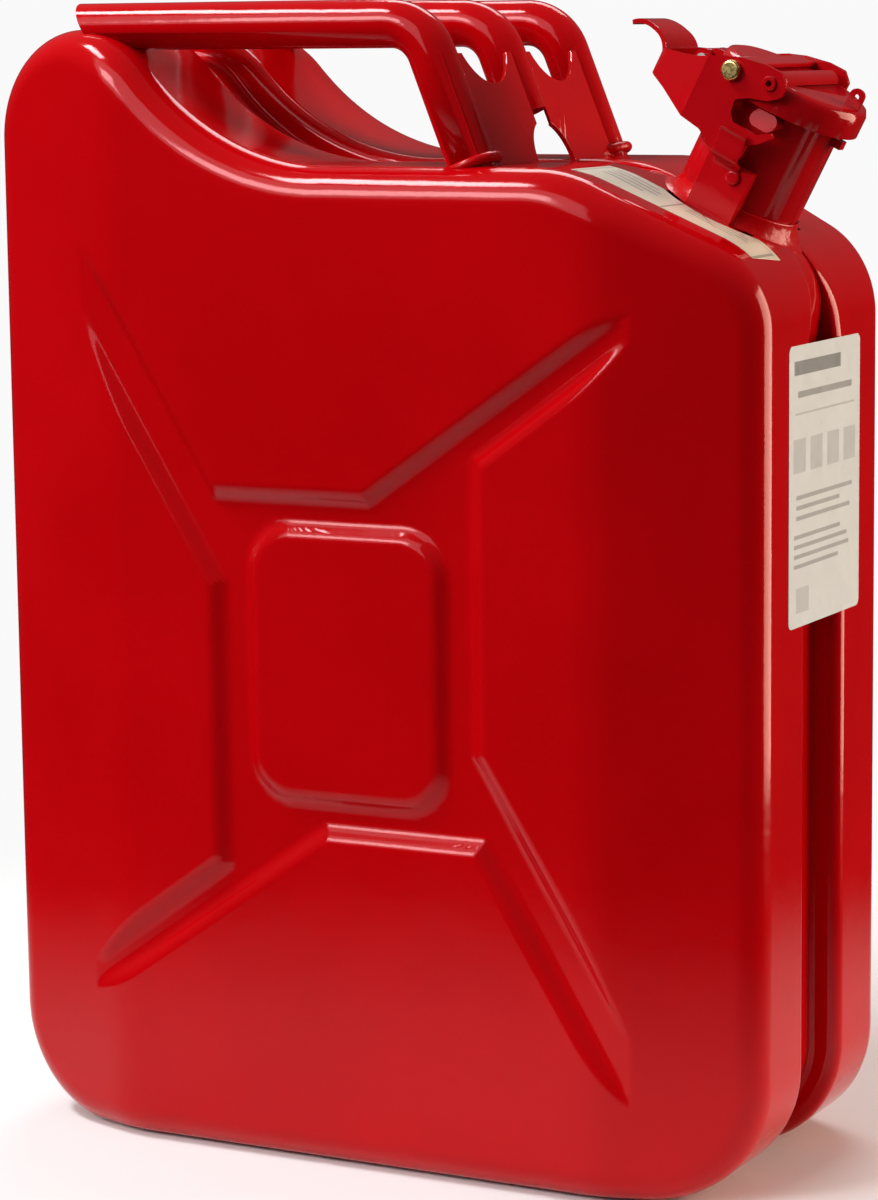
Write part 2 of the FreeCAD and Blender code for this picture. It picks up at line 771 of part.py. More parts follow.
def turns_softly(edge):
    """True for the outline corners that are rounded over: not the hook's thin tip."""
    x, z = edge.BoundBox.XMin, edge.BoundBox.ZMin
    return -45 < x < 9 and not (3.9 < x < 4.8 and z < 40)


LOCK = (size("lock_offset"), size("lock_height"))
parts.append(add_shape("lever", lever(), NECK_PLACE))


def cross_plate():
    """The bridge between the cheeks behind the pivot."""
    half = size("lever_inner") - 0.04
    plate = side_prism([(-14.5, 60.75), (-7, 61), (-7, 62.6), (-14.5, 62.35)], -half, half)
    ends = [edge for edge in plate.Edges if edge.BoundBox.YLength > 60 and edge.BoundBox.ZMax > 62]
    return plate.makeFillet(0.7, ends)


parts.append(add_shape("lever_cross_plate", cross_plate(), NECK_PLACE))


def locking_pin():
    """The plated pin that is pressed through the front cheek."""
    face = size("lever_inner") + size("lever_wall") + 0.08
    head = across(*LOCK, size("lock_head"), -face - 3, -face)
    rim = [edge for edge in head.Edges if lies_at_y(edge, -face - 3)]
    return head.makeFillet(1, rim).fuse(across(*LOCK, size("lock_shank"), -face - 1, -28.8))


parts.append(add_shape("locking_pin", locking_pin(), NECK_PLACE))


# ---------------------------------------------------------------- the three-bar handle
LEAN = math.radians(size("leg_lean"))
DOWN_LEG = Vector(math.sin(LEAN), 0, -math.cos(LEAN))


def bar_path(y, start, leg_end_z):
    """The centre line of one bar: level, then round the bend, then down the leaning leg."""
    radius, top = size("bar_bend"), size("bar_height")
    elbow = Vector(size("bar_elbow_x"), y, top)
    half = (math.pi / 2 - LEAN) / 2
    reach = radius * math.tan(half)
    first = elbow - Vector(reach, 0, 0)
    last = elbow + DOWN_LEG * reach
    middle_way = (Vector(-1, 0, 0) + DOWN_LEG).normalize()
    middle = elbow + middle_way * (radius / math.cos(half) - radius)
    foot = elbow + DOWN_LEG * ((top - leg_end_z) / math.cos(LEAN))
    points = [Vector(x, y, z) for x, z in start]
    edges = [Part.makeLine(a, b) for a, b in zip(points, points[1:] + [first])]
    return Part.Wire(edges + [Part.Arc(first, middle, last).toShape(), Part.makeLine(last, foot)])


def tube_along(path, radius):
    start = path.Vertexes[0].Point
    heading = path.Edges[0].tangentAt(path.Edges[0].FirstParameter)
    circle = Part.Wire(Part.makeCircle(radius, start, heading))
    return path.makePipeShell([circle], True, False, 1)


def handle_bar(y, start, leg_end_z):
    """A hollow bar with closed ends, trimmed to the can it is welded to."""
    path = bar_path(y, start, leg_end_z)
    outer = tube_along(path, size("bar_radius"))
    inner = tube_along(path, size("bar_radius") - size("bar_wall"))
    cut_end = Part.makeBox(60, 60, 60, Vector(-60, -30, -30))
    cut_end.rotate(Vector(0, 0, 0), ACROSS, -size("bar_end_slope"))
    cut_end.translate(Vector(size("bar_start"), y, size("bar_height")))
    bar = outer.cut(cut_end).cut(outside_body)
    cut_end.translate(Vector(size("bar_wall"), 0, 0))
    core = inner.cut(cut_end).cut(grown_body)
    return bar.cut(core)


grown_front = half_body(-1.2)
grown_body = grown_front.fuse(mirrored(grown_front))
spacing = size("bar_spacing")
straight = [(-150, size("bar_height"))]
parts.append(add_shape("handle_bar_near", handle_bar(-spacing, straight, 398)))
parts.append(add_shape("handle_bar_far", handle_bar(spacing, straight, 398)))
drooping = [(-150, 444), (-139, 452), (-128, 458.5), (-116, size("bar_height"))]
parts.append(add_shape("handle_bar_middle", handle_bar(0, drooping, 424)))


def plate_outline():
    """The web that joins the legs: two round hollows between the bars and an arch over the groove."""
    half = size("plate_half_width")
    blank = Part.makeBox(size("plate_thick"), 2 * half, size("plate_height") + 4, Vector(0, -half, -4))
    hollow_radius = size("bar_spacing") / 2 - size("bar_radius") + 0.5
    hollow_centre = size("plate_height") + 8
    for y in (-size("bar_spacing") / 2, size("bar_spacing") / 2):
        blank = blank.cut(Part.makeCylinder(hollow_radius, 10, Vector(-4, y, hollow_centre), Vector(1, 0, 0)))
    arch = Part.makeCylinder(16.5, 10, Vector(-4, 0, 0), Vector(1, 0, 0))
    return blank.cut(arch)


def handle_web():
    foot_x = size("bar_elbow_x") + (size("bar_height") - size("deck_height")) * math.tan(LEAN)
    plate = plate_outline()
    plate.rotate(Vector(0, 0, 0), ACROSS, -size("leg_lean"))
    plate.translate(Vector(foot_x + 5.5, 0, size("deck_height")))
    for y in (-size("bar_spacing"), 0, size("bar_spacing")):
        lift = 424 if y == 0 else 398
        start = drooping if y == 0 else straight
        plate = plate.cut(tube_along(bar_path(y, start, lift - 6), size("bar_radius") + 0.05))
    return plate.cut(outside_body).common(Part.makeBox(200, 200, 120, Vector(0, -100, 350)))


parts.append(add_shape("handle_web_plate", handle_web()))


def handle_welds():
    """The ring welds where the outer legs meet the can."""
    beads = []
    deck = size("deck_height")
    foot_x = size("bar_elbow_x") + (size("bar_height") - deck) * math.tan(LEAN)
    for y in (-spacing, spacing):
        ring = Part.makeTorus(size("bar_radius") + 1, 2, Vector(foot_x, y, deck), -DOWN_LEG)
        leg = tube_along(bar_path(y, straight, 380), size("bar_radius") + 0.04)
        beads.append(ring.cut(leg).cut(outside_body).cut(web_shape))
    return Part.makeCompound([bead for ring in beads for bead in ring.Solids])


web_shape = handle_web()
parts.append(add_shape("handle_welds", handle_welds()))


# ---------------------------------------------------------------- the two blank labels
def side_label():
    thick = size("label_thick")
    label = Part.makeBox(thick, 74, 110, Vector(HALF_WIDTH + 0.05, -37, 227))
    corners = [edge for edge in label.Edges if edge.BoundBox.XLength > thick / 2]
    return label.makeFillet(3, corners)


def top_label():
    """A label that lies on the front strip of the slope."""
    skin = half_body(-0.05 - size("label_thick")).cut(half_body(-0.05))
    plan = [Vector(x, y, 340) for x, y in ((92, -61), (161, -46), (163, -23), (92, -26))]
    label = skin.common(Part.Face(Part.makePolygon(plan + plan[:1])).extrude(UP * 90))
    clear_of_neck = Part.makeCylinder(NECK + size("flare_reach") + 1.5, 60, Vector(0, 0, -30))
    clear_of_neck.Placement = NECK_PLACE
    return label.cut(clear_of_neck)


parts.append(add_shape("side_label", side_label()))
parts.append(add_shape("top_label", top_label()))


# ---------------------------------------------------------------- checks and export
document.recompute()
for thing in document.Objects:
    if "Invalid" in thing.State or "Error" in thing.State:
        raise RuntimeError("%s is in the state %s" % (thing.Label, thing.State))
for part in parts:
    shape = part.Shape
    if shape.isNull() or not shape.isValid() or not shape.Solids:
        raise RuntimeError("%s has no valid solid" % part.Label)
    shape.exportStep("parts/%s.step" % part.Label)
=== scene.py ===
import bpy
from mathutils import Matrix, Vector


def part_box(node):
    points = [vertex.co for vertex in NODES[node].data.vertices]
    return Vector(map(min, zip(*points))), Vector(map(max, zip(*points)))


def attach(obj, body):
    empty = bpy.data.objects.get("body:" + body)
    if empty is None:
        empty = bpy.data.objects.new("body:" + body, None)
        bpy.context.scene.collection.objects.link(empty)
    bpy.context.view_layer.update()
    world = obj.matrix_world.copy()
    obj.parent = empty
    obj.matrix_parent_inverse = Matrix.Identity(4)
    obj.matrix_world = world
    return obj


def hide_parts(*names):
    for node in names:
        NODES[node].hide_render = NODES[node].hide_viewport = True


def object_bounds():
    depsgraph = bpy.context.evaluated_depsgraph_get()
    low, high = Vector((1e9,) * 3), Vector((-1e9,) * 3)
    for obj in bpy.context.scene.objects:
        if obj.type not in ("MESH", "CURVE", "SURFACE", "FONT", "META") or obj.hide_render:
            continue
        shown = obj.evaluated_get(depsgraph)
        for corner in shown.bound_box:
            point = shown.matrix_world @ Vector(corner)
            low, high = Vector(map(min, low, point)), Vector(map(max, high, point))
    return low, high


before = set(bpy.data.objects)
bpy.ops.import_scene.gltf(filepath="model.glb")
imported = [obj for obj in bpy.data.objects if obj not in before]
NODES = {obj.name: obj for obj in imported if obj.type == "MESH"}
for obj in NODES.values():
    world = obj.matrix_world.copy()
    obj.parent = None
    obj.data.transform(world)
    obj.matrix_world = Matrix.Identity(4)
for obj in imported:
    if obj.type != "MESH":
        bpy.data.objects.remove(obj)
cad_box = [list(corner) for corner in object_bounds()]

import math

import bpy
import numpy as np
from mathutils import Matrix, Vector

SEED = 7

# ---------------------------------------------------------------- sizes of the can in metres, as in the CAD
HALF_WIDTH = 0.1725
HALF_DEPTH = 0.082
SIDE_DEPTH = 0.0625
FLAT_HALF = 0.108
BEND_RADIUS = 0.060
EDGE_RADIUS = 0.014
BASE_CORNER = 0.048
SHOULDER_CORNER = 0.040
BACK_CORNER = 0.045
SWEEP_RADIUS = 0.110
SWEEP = math.radians(49.3)
SLOPE = math.radians(25.6)
SLOPE_START = 0.094
SLOPE_CORNER = 0.060
DECK = 0.406
CROWN = 0.460
GROOVE_HALF = 0.017
GROOVE_DEPTH = 0.012
GROOVE_LIP = 0.006
GROOVE_INNER_RADIUS = 0.003
STAMP_MIDDLE = 0.207
STAMP_DEPTH = 0.0045
STAMP_WALL = 0.0055
STAMP_TIP = 0.122
ISLAND_X = 0.040
ISLAND_Z = 0.052
ISLAND_CORNER = 0.015
CREASE = 0.0019
NECK_FOOT = Vector((0.1332, 0, 0.3853))
NECK_TILT = math.radians(27.5)
NECK_WALL_MIDDLE = 0.0236
SEAT_REACH = 0.030
GROOVE_FULL = 0.085
GROOVE_LEAST = 0.06
GROOVE_LEAST_WIDTH = 0.25
NECK_HOLE_BAND = 0.0016
NECK_HOLE_REACH = 0.045
NUDGE = 0.0005
FACE_NUDGE = 0.0002


# ---------------------------------------------------------------- outline of the can seen from the front
def outline_corners():
    """The corners of the outline with their radii, anticlockwise, before rounding."""
    centre = Vector((-HALF_WIDTH + BACK_CORNER, CROWN - BACK_CORNER))
    touch = centre + Vector((math.sin(SWEEP), math.cos(SWEEP))) * BACK_CORNER
    back_peak = touch.y + math.tan(SWEEP) * (touch.x + HALF_WIDTH)
    dip = touch.x + (touch.y - DECK) / math.tan(SWEEP)
    shoulder = DECK - (HALF_WIDTH - SLOPE_START) * math.tan(SLOPE)
    return [
        (-HALF_WIDTH, 0.0, BASE_CORNER),
        (HALF_WIDTH, 0.0, BASE_CORNER),
        (HALF_WIDTH, shoulder, SHOULDER_CORNER),
        (SLOPE_START, DECK, SLOPE_CORNER),
        (dip, DECK, SWEEP_RADIUS),
        (-HALF_WIDTH, back_peak, BACK_CORNER),
    ]


def outline(step):
    """Points along the rounded outline and their inward normals, no further apart than step."""
    corners = outline_corners()
    count = len(corners)
    arcs = []
    for index, (x, z, radius) in enumerate(corners):
        here = Vector((x, z))
        before = (Vector(corners[index - 1][:2]) - here).normalized()
        after = (Vector(corners[(index + 1) % count][:2]) - here).normalized()
        half = before.angle(after) / 2
        reach = radius / math.tan(half)
        centre = here + (before + after).normalized() * (radius / math.sin(half))
        arcs.append((here + before * reach, centre, here + after * reach))
    points, normals = [], []
    for index, (start, centre, end) in enumerate(arcs):
        first, last = start - centre, end - centre
        low = math.atan2(first.y, first.x)
        turn = (math.atan2(last.y, last.x) - low + math.pi) % (2 * math.pi) - math.pi
        pieces = max(2, math.ceil(abs(turn) * first.length / step))
        inwards = -1 if turn > 0 else 1
        for k in range(pieces):
            angle = low + turn * k / pieces
            heading = Vector((math.cos(angle), math.sin(angle)))
            points.append(centre + heading * first.length)
            normals.append(heading * inwards)
        following = arcs[(index + 1) % count][0]
        run = following - end
        pieces = max(1, math.ceil(run.length / step))
        side = Vector((-run.y, run.x)).normalized()
        for k in range(pieces):
            points.append(end + run * (k / pieces))
            normals.append(side)
    return np.array(points), np.array(normals)


# ---------------------------------------------------------------- the big face, as its height over the seam
def face_height(x):
    """How far the plain face stands from the seam plane: flat in the middle, falling back at the sides."""
    fall = (HALF_DEPTH - SIDE_DEPTH) / (HALF_WIDTH - FLAT_HALF)
    half_turn = BEND_RADIUS * math.tan(math.atan(fall) / 2)
    start = FLAT_HALF - half_turn
    away = np.abs(x)
    bent = np.clip(away - start, 0, BEND_RADIUS * math.sin(math.atan(fall)))
    arc = BEND_RADIUS - np.sqrt(BEND_RADIUS**2 - bent**2)
    straight = np.clip(away - start - BEND_RADIUS * math.sin(math.atan(fall)), 0, None) * fall
    return HALF_DEPTH - arc - straight


def stamp_corners():
    """Corners of the stamped cross, from the middle of the face. One half is the other turned round."""
    half = [
        (STAMP_TIP, -0.163),
        (STAMP_TIP, -0.139),
        (0.056, -0.032),
        (0.056, 0.0863),
        (STAMP_TIP, 0.1338),
        (STAMP_TIP, 0.1423),
        (0.011, 0.065),
        (-0.0615, 0.065),
    ]
    return np.array(half + [(-x, -z) for x, z in half])


def outline_distance(x, z, corners):
    """Signed distance to a closed outline, below nought inside it."""
    best = np.full(x.shape, np.inf)
    inside = np.zeros(x.shape, bool)
    for index in range(len(corners)):
        a, b = corners[index - 1], corners[index]
        edge = b - a
        share = np.clip(((x - a[0]) * edge[0] + (z - a[1]) * edge[1]) / (edge @ edge), 0, 1)
        best = np.minimum(best, np.hypot(x - a[0] - share * edge[0], z - a[1] - share * edge[1]))
        crosses = (a[1] > z) != (b[1] > z)
        with np.errstate(divide="ignore", invalid="ignore"):
            at = a[0] + (z - a[1]) / (b[1] - a[1]) * edge[0]
        inside ^= crosses & (x < at)
    return np.where(inside, -best, best)


def island_distance(x, z):
    dx = np.abs(x) - (ISLAND_X - ISLAND_CORNER)
    dz = np.abs(z) - (ISLAND_Z - ISLAND_CORNER)
    outside = np.hypot(np.maximum(dx, 0), np.maximum(dz, 0))
    return outside + np.minimum(np.maximum(dx, dz), 0) - ISLAND_CORNER


def soft_min(a, b, width):
    """The lesser of two heights, rounded where they cross."""
    near = np.clip(1 - np.abs(a - b) / width, 0, None)
    return np.minimum(a, b) - near**2 * width / 4


def soft_max(a, b, width):
    return -soft_min(-a, -b, width)


def height(x, z):
    """The pressed face: the plain face with the cross stamped into it and the panel left in its middle."""
    low = HALF_DEPTH - STAMP_DEPTH
    slope = STAMP_DEPTH / STAMP_WALL
    cross = outline_distance(x, z - STAMP_MIDDLE, stamp_corners())
    wall = low + cross * slope
    panel = HALF_DEPTH - island_distance(x, z - STAMP_MIDDLE) * slope
    panel = soft_min(panel, np.full(x.shape, HALF_DEPTH), CREASE)
    floor = soft_max(soft_max(wall, np.full(x.shape, low), CREASE), panel, CREASE)
    return soft_min(face_height(x), floor, CREASE)


# ---------------------------------------------------------------- one shell
RIM_STEPS = 14
LIP_STEPS = 8
INNER_STEPS = 6
RINGS_BACK_TO_RIM = 6


def groove_share(points):
    """How deep the groove is at each point: nearly nought under the neck, and one away from it."""
    far = np.hypot(points[:, 0] - NECK_FOOT.x, points[:, 1] - NECK_FOOT.z)
    part = np.clip((far - SEAT_REACH) / (GROOVE_FULL - SEAT_REACH), 0, 1)
    return GROOVE_LEAST + (1 - GROOVE_LEAST) * part * part * (3 - 2 * part)


def rim_section(points, normals):
    """Rings of (inset, height over the seam), from the groove's floor over the lip and round the rim."""
    rings = []
    ones = np.ones(len(points))
    share = groove_share(points)
    depth = GROOVE_DEPTH * share
    half = GROOVE_HALF * (GROOVE_LEAST_WIDTH + (1 - GROOVE_LEAST_WIDTH) * share)
    rings.append((depth, 0.0 * ones))
    corner = GROOVE_INNER_RADIUS * share
    for k in range(INNER_STEPS + 1):
        angle = math.pi / 2 * k / INNER_STEPS
        inset = depth - corner * (1 - math.cos(angle))
        rings.append((inset, half - corner * (1 - math.sin(angle))))
    for k in range(LIP_STEPS + 1):
        angle = math.pi / 2 * k / LIP_STEPS
        inset = GROOVE_LIP * share * (1 - math.sin(angle))
        rings.append((inset, half + GROOVE_LIP * (1 - math.cos(angle))))
    reach = points + normals * EDGE_RADIUS
    further = points + normals * (EDGE_RADIUS + NUDGE)
    level = face_height(reach[:, 0])
    rise = (face_height(further[:, 0]) - level) / NUDGE
    long = np.sqrt(1 + rise**2)
    centre = level - EDGE_RADIUS * long
    last = np.arctan2(1 / long, rise / long)
    lip_top = half + GROOVE_LIP
    for k in (1, 2):
        rings.append((0.0 * ones, lip_top + (centre - lip_top) * k / 3))
    for k in range(RIM_STEPS + 1):
        angle = last * k / RIM_STEPS
        inset = EDGE_RADIUS * (1 - np.cos(angle))
        tall = centre + EDGE_RADIUS * np.sin(angle)
        straight = level + rise * (inset - EDGE_RADIUS)
        place = points + normals * inset[:, None]
        tall = tall + (face_height(place[:, 0]) - straight) * (k / RIM_STEPS) ** 2
        rings.append((inset, tall))
    return rings


def shell_vertices(step, radial, inset=0.0):
    """Rings of a front shell's vertices as (x, y, z), from the groove to the middle of the face.

    With an inset they make the plain liner inside the shell.
    """
    points, normals = outline(step)
    rings = []
    section = rim_section(points, normals)
    if inset > 0:
        ones = np.ones(len(points))
        lip_back = GROOVE_HALF + 2 * inset
        inner = [
            (GROOVE_DEPTH * ones, inset * ones),
            (GROOVE_DEPTH * ones, lip_back * ones),
            (0 * ones, lip_back * ones),
        ]
        section = inner + section[-RIM_STEPS - 3 :]
    for inwards, tall in section:
        place = points + normals * (inwards + inset)[:, None]
        rings.append(np.column_stack((place[:, 0], -(tall - inset), place[:, 1])))
    edge = np.column_stack((rings[-1][:, 0], rings[-1][:, 2]))
    middle = np.array((0.0, STAMP_MIDDLE))
    for k in range(1, radial):
        place = edge + (middle - edge) * (k / radial)
        tall = height(place[:, 0], place[:, 1])
        rings.append(np.column_stack((place[:, 0], -(tall - inset), place[:, 1])))
    return rings, len(points)


def ring_normals(rings):
    """Normals from the differences of neighbouring vertices along and across the rings."""
    grid = np.array(rings)
    along = np.roll(grid, -1, axis=1) - np.roll(grid, 1, axis=1)
    across = np.empty_like(grid)
    across[1:-1] = grid[2:] - grid[:-2]
    across[0] = grid[1] - grid[0]
    across[-1] = grid[-1] - grid[-2]
    found = np.cross(along, across)
    found /= np.maximum(np.linalg.norm(found, axis=2, keepdims=True), 1e-12)
    return found


def ring_faces(ring_count, count):
    """Quads between neighbouring rings of count points, then triangles from the last ring to one tip."""
    faces = []
    for r in range(ring_count - 1):
        base, above = r * count, (r + 1) * count
        for k in range(count):
            following = (k + 1) % count
            faces.append((base + k, base + following, above + following, above + k))
    base = (ring_count - 1) * count
    tip = ring_count * count
    for k in range(count):
        faces.append((base + k, base + (k + 1) % count, tip))
    return faces


def shell_mesh(name, step, radial, rear=False, inset=0.0):
    """A pressed shell. Its face's normals come from the height itself, so its gloss has no facets."""
    rings, count = shell_vertices(step, radial, inset)
    normals = ring_normals(rings)
    first_face = len(rings) - radial + 1
    for k in range(first_face, len(rings)):
        x, z = rings[k][:, 0], rings[k][:, 2]
        dx = (height(x + FACE_NUDGE, z) - height(x - FACE_NUDGE, z)) / (2 * FACE_NUDGE)
        dz = (height(x, z + FACE_NUDGE) - height(x, z - FACE_NUDGE)) / (2 * FACE_NUDGE)
        face = np.column_stack((-dx, -np.ones(len(x)), -dz))
        normals[k] = face / np.linalg.norm(face, axis=1)[:, None]
    rim_ring = first_face - RINGS_BACK_TO_RIM
    outward = normals[rim_ring]
    sideways = rings[rim_ring] - np.array((0, 0, STAMP_MIDDLE))
    if (outward * sideways).sum() < 0:
        normals[:first_face] *= -1
    if inset > 0:
        normals = -normals
    vertices = np.vstack(rings + [np.array([[0.0, -(HALF_DEPTH - inset), STAMP_MIDDLE]])])
    shading = np.vstack([*normals, np.array([[0.0, -1.0 if inset == 0 else 1.0, 0.0]])])
    faces = ring_faces(len(rings), count)
    if rear:
        vertices[:, 1] *= -1
        shading[:, 1] *= -1
    if rear != (inset > 0):
        faces = [face[::-1] for face in faces]
    vertices, shading, faces = cut_neck_hole(vertices, shading, faces)
    mesh = bpy.data.meshes.new(name)
    mesh.from_pydata(vertices.tolist(), [], faces)
    mesh.update()
    mesh.polygons.foreach_set("use_smooth", [True] * len(mesh.polygons))
    mesh.normals_split_custom_set_from_vertices(shading.tolist())
    piece = bpy.data.objects.new(name, mesh)
    bpy.context.scene.collection.objects.link(piece)
    return piece


def cut_neck_hole(vertices, shading, faces):
    """Opens the shell where the neck passes through it, with the edge inside the neck's wall."""
    axis = np.array((math.sin(NECK_TILT), 0, math.cos(NECK_TILT)))
    away = vertices - np.array(NECK_FOOT)
    along = away @ axis
    across = away - along[:, None] * axis
    far = np.linalg.norm(across, axis=1)
    near_neck = np.abs(along) < NECK_HOLE_REACH
    gone = near_neck & (far < NECK_WALL_MIDDLE - NECK_HOLE_BAND)
    moved = near_neck & ~gone & (far < NECK_WALL_MIDDLE)
    stretch = np.where(moved, NECK_WALL_MIDDLE / np.maximum(far, 1e-6), 1.0)
    vertices = np.where(moved[:, None], vertices + across * (stretch - 1)[:, None], vertices)
    faces = [face for face in faces if not any(gone[i] for i in face)]
    used = np.zeros(len(vertices), bool)
    for face in faces:
        used[list(face)] = True
    place = np.cumsum(used) - 1
    faces = [tuple(int(place[i]) for i in face) for face in faces]
    return vertices[used], shading[used], faces


# ---------------------------------------------------------------- materials
PAINT_IOR = 1.36
PAINT_GLINT = (1.0, 0.6, 0.62, 1)
DEEP_RED = (0.39, 0.0004, 0.0020)
BRIGHT_RED = (0.45, 0.0008, 0.0028)


def new_material(name):
    material = bpy.data.materials.new(name)
    material.use_nodes = True
    tree = material.node_tree
    return material, tree, tree.nodes["Principled BSDF"]


def node(tree, kind, **values):
    """A node with its properties set by name and its sockets by 'in_' and the socket's name."""
    made = tree.nodes.new(kind)
    for key, value in values.items():
        if key.startswith("in_"):
            made.inputs[key[3:]].default_value = value
        else:
            setattr(made, key, value)
    return made


def noise(tree, scale, detail=3.0, roughness=0.5, stretch=(1, 1, 1)):
    """Noise over object coordinates, in cells per metre."""
    places = node(tree, "ShaderNodeTexCoord")
    mapping = node(tree, "ShaderNodeMapping")
    mapping.inputs["Scale"].default_value = stretch
    cloud = node(tree, "ShaderNodeTexNoise", in_Scale=scale, in_Detail=detail, in_Roughness=roughness)
    tree.links.new(places.outputs["Object"], mapping.inputs["Vector"])
    tree.links.new(mapping.outputs["Vector"], cloud.inputs["Vector"])
    return cloud.outputs["Fac"]


def ramp(tree, value, low, high, colour_low, colour_high):
    made = node(tree, "ShaderNodeValToRGB")
    first, last = made.color_ramp.elements
    first.position, last.position = low, high
    first.color, last.color = colour_low, colour_high
    tree.links.new(value, made.inputs["Fac"])
    return made.outputs["Color"]


def spread(tree, value, low, high, out_low, out_high):
    made = node(tree, "ShaderNodeMapRange")
    for socket, number in (("From Min", low), ("From Max", high), ("To Min", out_low), ("To Max", out_high)):
        made.inputs[socket].default_value = number
    tree.links.new(value, made.inputs["Value"])
    return made.outputs["Result"]


def bumps(tree, shader, layers):
    """Chains height layers, each (value, distance in metres, strength), into the shader's normal."""
    last = None
    for value, distance, strength in layers:
        bump = node(tree, "ShaderNodeBump", in_Distance=distance, in_Strength=strength)
        tree.links.new(value, bump.inputs["Height"])
        if last is not None:
            tree.links.new(last.outputs["Normal"], bump.inputs["Normal"])
        last = bump
    tree.links.new(last.outputs["Normal"], shader.inputs["Normal"])


def paint(name, deep, bright, gloss, peel, chips=0.0):
    """Stove enamel: colour drift, orange peel, faint dust in its gloss and, where asked, worn spots."""
    material, tree, shader = new_material(name)
    colour = ramp(tree, noise(tree, 9.0, 3.0), 0.35, 0.68, (*deep, 1), (*bright, 1))
    if chips > 0:
        specks = spread(tree, noise(tree, 420.0, 4.0, 0.62), 0.74 - chips, 0.76 - chips, 0.0, 1.0)
        where = spread(tree, noise(tree, 48.0, 2.0), 0.56, 0.62, 0.0, 1.0)
        both = node(tree, "ShaderNodeMath", operation="MULTIPLY")
        tree.links.new(specks, both.inputs[0])
        tree.links.new(where, both.inputs[1])
        mix = node(tree, "ShaderNodeMix", data_type="RGBA")
        tree.links.new(both.outputs[0], mix.inputs["Factor"])
        tree.links.new(colour, mix.inputs["A"])
        mix.inputs["B"].default_value = (0.16, 0.012, 0.01, 1)
        colour = mix.outputs["Result"]
    tree.links.new(colour, shader.inputs["Base Color"])
    rough = spread(tree, noise(tree, 60.0, 5.0, 0.65), 0.3, 0.75, gloss * 0.8, gloss * 1.35)
    tree.links.new(rough, shader.inputs["Roughness"])
    shader.inputs["IOR"].default_value = PAINT_IOR
    shader.inputs["Specular Tint"].default_value = PAINT_GLINT
    bumps(
        tree,
        shader,
        [
            (noise(tree, 22.0, 2.0), 0.0012, peel * 0.55),
            (noise(tree, 260.0, 2.0), 0.00008, peel),
            (noise(tree, 1500.0, 2.0), 0.00001, peel),
        ],
    )
    return material


BODY_PAINT = paint("body_paint", DEEP_RED, BRIGHT_RED, 0.105, 0.45)
BAR_PAINT = paint("bar_paint", DEEP_RED, BRIGHT_RED, 0.09, 0.6)
CLOSURE_PAINT = paint("closure_paint", (0.34, 0.0015, 0.004), (0.43, 0.003, 0.006), 0.11, 0.6, 0.02)


def weld_paint():
    """The same enamel over the ripples of a weld."""
    material, tree, shader = new_material("weld_paint")
    colour = ramp(tree, noise(tree, 60.0, 3.0), 0.3, 0.7, (*DEEP_RED, 1), (*BRIGHT_RED, 1))
    tree.links.new(colour, shader.inputs["Base Color"])
    rough = spread(tree, noise(tree, 160.0, 4.0), 0.3, 0.7, 0.16, 0.3)
    tree.links.new(rough, shader.inputs["Roughness"])
    shader.inputs["IOR"].default_value = PAINT_IOR
    shader.inputs["Specular Tint"].default_value = PAINT_GLINT
    bumps(tree, shader, [(noise(tree, 320.0, 2.0), 0.0006, 0.45), (noise(tree, 900.0, 2.0), 0.0001, 0.5)])
    return material


def metal(name, colour_low, colour_high, rough_low, rough_high, grain):
    material, tree, shader = new_material(name)
    colour = ramp(tree, noise(tree, 380.0, 4.0, 0.6), 0.3, 0.7, (*colour_low, 1), (*colour_high, 1))
    tree.links.new(colour, shader.inputs["Base Color"])
    rough = spread(tree, noise(tree, 700.0, 4.0, 0.6), 0.3, 0.7, rough_low, rough_high)
    tree.links.new(rough, shader.inputs["Roughness"])
    shader.inputs["Metallic"].default_value = 1.0
    bumps(tree, shader, [(noise(tree, grain, 3.0, 0.6, (1, 6, 1)), 0.00006, 0.5)])
    return material


def rubber():
    material, tree, shader = new_material("gasket_rubber")
    colour = ramp(tree, noise(tree, 240.0, 4.0), 0.3, 0.7, (0.012, 0.012, 0.013, 1), (0.03, 0.03, 0.031, 1))
    tree.links.new(colour, shader.inputs["Base Color"])
    rough = spread(tree, noise(tree, 500.0, 4.0), 0.3, 0.7, 0.5, 0.72)
    tree.links.new(rough, shader.inputs["Roughness"])
    bumps(tree, shader, [(noise(tree, 1200.0, 3.0), 0.00005, 0.6)])
    return material


WELD_PAINT = weld_paint()
ZINC = metal("zinc_steel", (0.45, 0.44, 0.42), (0.62, 0.61, 0.58), 0.28, 0.42, 900.0)
BRASS = metal("yellow_zinc", (0.55, 0.38, 0.12), (0.78, 0.60, 0.26), 0.2, 0.34, 900.0)
BREATHER = metal("breather_steel", (0.36, 0.36, 0.35), (0.52, 0.52, 0.50), 0.3, 0.46, 700.0)
RUBBER = rubber()

FINISHES = {
    "front_shell": BODY_PAINT,
    "rear_shell": BODY_PAINT,
    "seam_weld": WELD_PAINT,
    "neck_tube": CLOSURE_PAINT,
    "neck_weld": WELD_PAINT,
    "breather_tube": BREATHER,
    "hinge_pin": ZINC,
    "lever_pivot_pin": CLOSURE_PAINT,
    "handle_bar_near": BAR_PAINT,
    "handle_bar_middle": BAR_PAINT,
    "handle_bar_far": BAR_PAINT,
    "handle_web_plate": BAR_PAINT,
    "handle_welds": WELD_PAINT,
    "cap_gasket": RUBBER,
    "locking_pin": BRASS,
}


def set_material(piece, material):
    piece.data.materials.clear()
    piece.data.materials.append(material)


